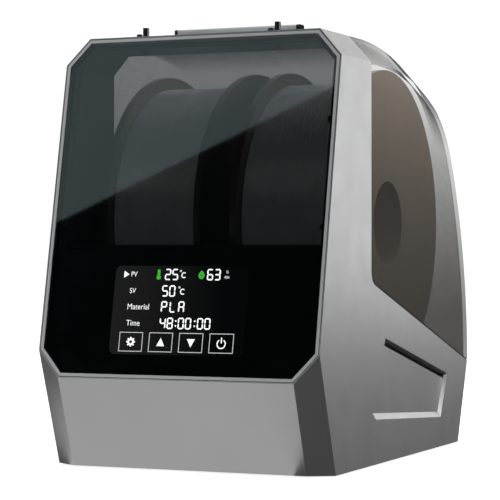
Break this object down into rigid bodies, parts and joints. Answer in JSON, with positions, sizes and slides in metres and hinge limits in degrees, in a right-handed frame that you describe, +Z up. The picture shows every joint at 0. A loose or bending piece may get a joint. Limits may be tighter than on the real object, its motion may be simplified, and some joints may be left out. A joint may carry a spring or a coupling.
{
  "type": "filament dryer box",
  "caption": "Heated drying box for filament spools, with a leaning glass front and touch display, spools on rollers, and a smoked lid hinged across the roof.",
  "frame": {"origin": "middle of the footprint, on the surface that the box stands on", "axes": "+Z up, -Y towards the person who reads the display, +X to their right, along the spools' axis"},
  "size_m": [0.187, 0.304, 0.2783],
  "materials": {
    "silver_shell": "satin silver paint over moulded plastic",
    "silver_trim": "light satin silver trim",
    "brushed_bar": "fine brushed",
    "smoke_glass": "smoked, polished",
    "smoke_lid": "smoked clear, polished",
    "black_print": "gloss black back print",
    "display": "dark display glass",
    "black_plastic": "fine spark-eroded texture",
    "spool_plastic": "moulded, light sheen",
    "filament": "glossy wound strand",
    "rubber": "matt",
    "tube_black": "smooth low-friction plastic",
    "steel": "ground",
    "heater_frame": "heat-resistant, matt",
    "heater_fins": "bright rolled",
    "circuit_board": "green solder mask"
  },
  "bodies": {
    "housing": {"outer_casing": "silver_shell", "base_plate": "black_plastic", "base_screws": "steel", "rubber_feet": "rubber", "front_bezel": "silver_trim", "front_panel": "smoke_glass", "panel_mask": "black_print", "display_module": "display", "display_board": "circuit_board", "touch_key_pads": "rubber", "panel_clips": "black_plastic", "chamber_liner": "black_plastic", "chamber_floor": "black_plastic", "chamber_front_wall": "black_plastic", "humidity_sensor": "black_plastic", "intake_grille": "black_plastic", "outlet_grille": "black_plastic", "roller_cradle_front": "black_plastic", "roller_cradle_rear": "black_plastic", "air_duct": "black_plastic", "fan_frame": "black_plastic", "heater_frame": "heater_frame", "heater_core": "heater_fins", "power_supply": "circuit_board", "control_board": "circuit_board", "power_inlet": "black_plastic", "hinge_bracket_left": "black_plastic", "hinge_bracket_right": "black_plastic", "hinge_screws": "steel", "hinge_pin": "steel", "guide_tube_left": "tube_black", "guide_tube_right": "tube_black", "outlet_plug_left": "rubber", "outlet_plug_right": "rubber"},
    "lid": {"lid_shell": "smoke_lid", "lid_seal": "rubber", "hinge_bar": "brushed_bar", "hinge_bar_screws": "steel"},
    "spool_left": {"spool_core_left": "spool_plastic", "spool_inner_flange_left": "spool_plastic", "spool_outer_flange_left": "spool_plastic", "filament_left": "filament"},
    "spool_right": {"spool_core_right": "spool_plastic", "spool_inner_flange_right": "spool_plastic", "spool_outer_flange_right": "spool_plastic", "filament_right": "filament"},
    "fan_rotor": {"fan_rotor": "black_plastic"},
    "roller_front_left": {"roller_axle_front_left": "steel", "rollers_front_left": "rubber"},
    "roller_front_right": {"roller_axle_front_right": "steel", "rollers_front_right": "rubber"},
    "roller_rear_left": {"roller_axle_rear_left": "steel", "rollers_rear_left": "rubber"},
    "roller_rear_right": {"roller_axle_rear_right": "steel", "rollers_rear_right": "rubber"}
  },
  "joints": [
    {"name": "lid_hinge", "type": "hinge", "parent": "housing", "child": "lid", "pos_m": [0, -0.0544, 0.2739], "axis": [1, 0, 0], "range_deg": [0, 90]},
    {"name": "spool_left_spin", "type": "hinge", "parent": "housing", "child": "spool_left", "pos_m": [-0.04485, 0.0074, 0.1529], "axis": [1, 0, 0], "continuous": true},
    {"name": "roller_front_left_spin", "type": "hinge", "parent": "housing", "child": "roller_front_left", "pos_m": [-0.045, -0.04675, 0.05911], "axis": [1, 0, 0], "continuous": true},
    {"name": "roller_rear_left_spin", "type": "hinge", "parent": "housing", "child": "roller_rear_left", "pos_m": [-0.045, 0.06155, 0.05911], "axis": [1, 0, 0], "continuous": true},
    {"name": "spool_right_spin", "type": "hinge", "parent": "housing", "child": "spool_right", "pos_m": [0.04485, 0.0074, 0.1529], "axis": [1, 0, 0], "continuous": true},
    {"name": "roller_front_right_spin", "type": "hinge", "parent": "housing", "child": "roller_front_right", "pos_m": [0.045, -0.04675, 0.05911], "axis": [1, 0, 0], "continuous": true},
    {"name": "roller_rear_right_spin", "type": "hinge", "parent": "housing", "child": "roller_rear_right", "pos_m": [0.045, 0.06155, 0.05911], "axis": [1, 0, 0], "continuous": true},
    {"name": "fan_spin", "type": "hinge", "parent": "housing", "child": "fan_rotor", "pos_m": [0, 0.096, 0.033], "axis": [0, 0, 1], "continuous": true}
  ],
  "couplings": [
    {"joint": "roller_front_left_spin", "follows": "spool_left_spin", "ratio": -12.5},
    {"joint": "roller_rear_left_spin", "follows": "spool_left_spin", "ratio": -12.5},
    {"joint": "roller_front_right_spin", "follows": "spool_right_spin", "ratio": -12.5},
    {"joint": "roller_rear_right_spin", "follows": "spool_right_spin", "ratio": -12.5}
  ]
}
